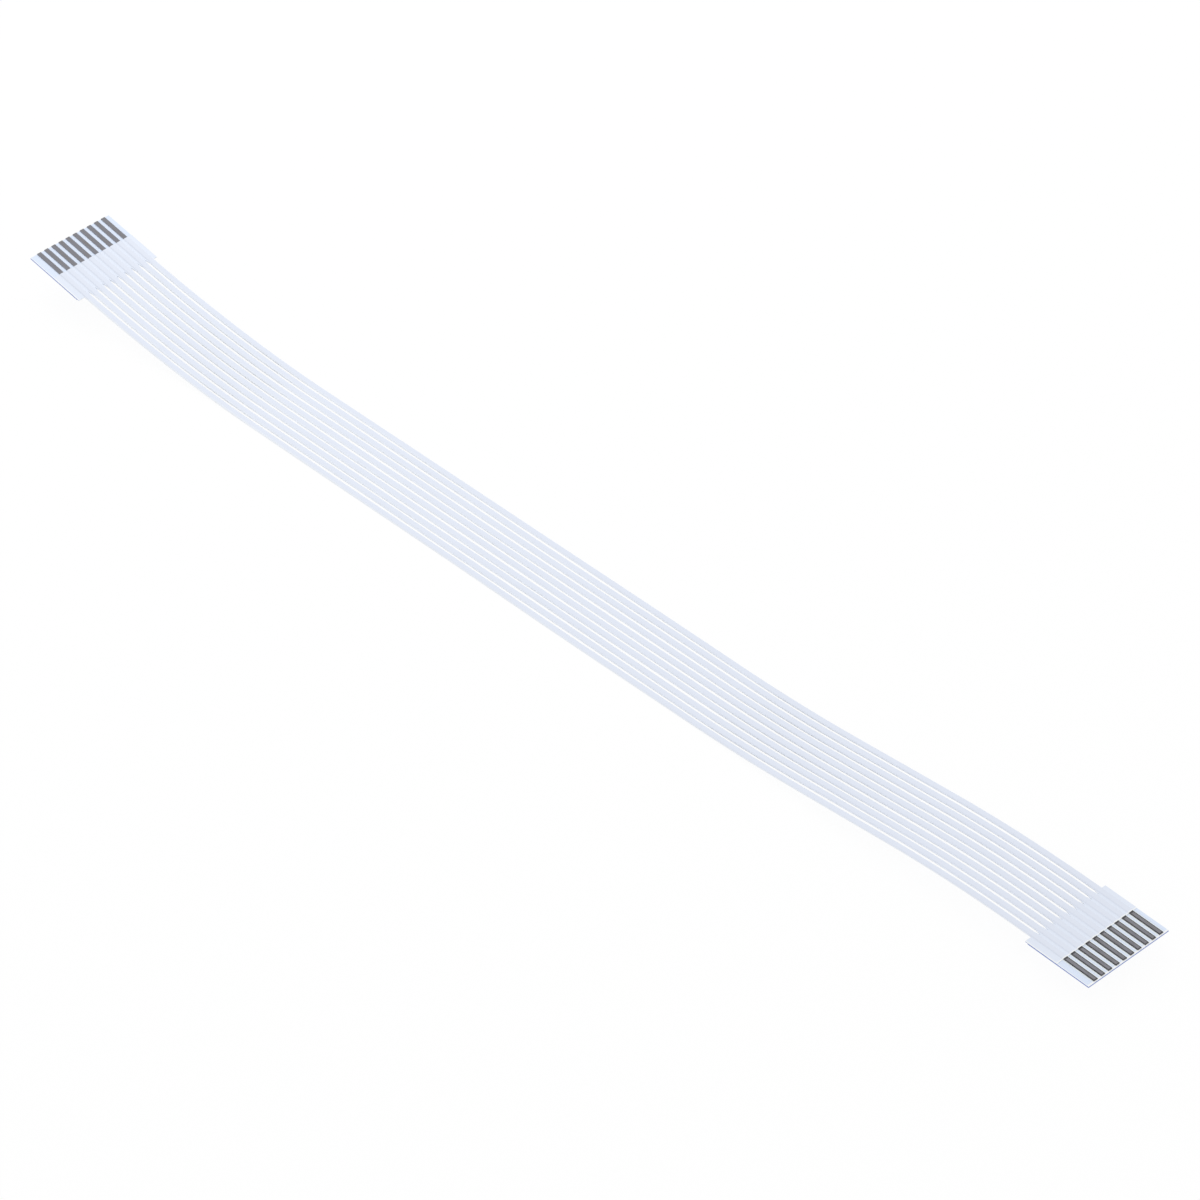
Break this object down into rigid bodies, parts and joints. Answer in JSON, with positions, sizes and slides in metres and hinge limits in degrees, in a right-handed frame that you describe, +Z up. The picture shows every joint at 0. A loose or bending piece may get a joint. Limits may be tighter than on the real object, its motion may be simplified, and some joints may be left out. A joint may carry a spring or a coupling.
{
  "type": "flat flex cable",
  "caption": "Flat flex cable with flat tinned conductors laminated between two films, wide stiffened ends with bare contacts on the upper side, and a body slit into separate strips.",
  "frame": {"origin": "on the surface that the cable lies on, below the middle of its length and of its width", "axes": "+X along the cable from its left end to its right end, +Y across it from conductor_01 to conductor_10, +Z up, away from the surface; the contacts face up"},
  "size_m": [0.1996, 0.0138, 0.0053],
  "materials": {
    "lower_film": "translucent milky polyester film, satin",
    "upper_film": "translucent milky polyester film, soft gloss",
    "tinned_copper": "flat rolled copper with bright tin plating, fine lengthwise lines",
    "stiffener": "pale blue polyester stiffener tape"
  },
  "bodies": {
    "root": {"lower_film": "lower_film", "upper_film": "upper_film", "conductor_01": "tinned_copper", "conductor_02": "tinned_copper", "conductor_03": "tinned_copper", "conductor_04": "tinned_copper", "conductor_05": "tinned_copper", "conductor_06": "tinned_copper", "conductor_07": "tinned_copper", "conductor_08": "tinned_copper", "conductor_09": "tinned_copper", "conductor_10": "tinned_copper", "stiffener_left": "stiffener", "stiffener_right": "stiffener"}
  },
  "joints": []
}
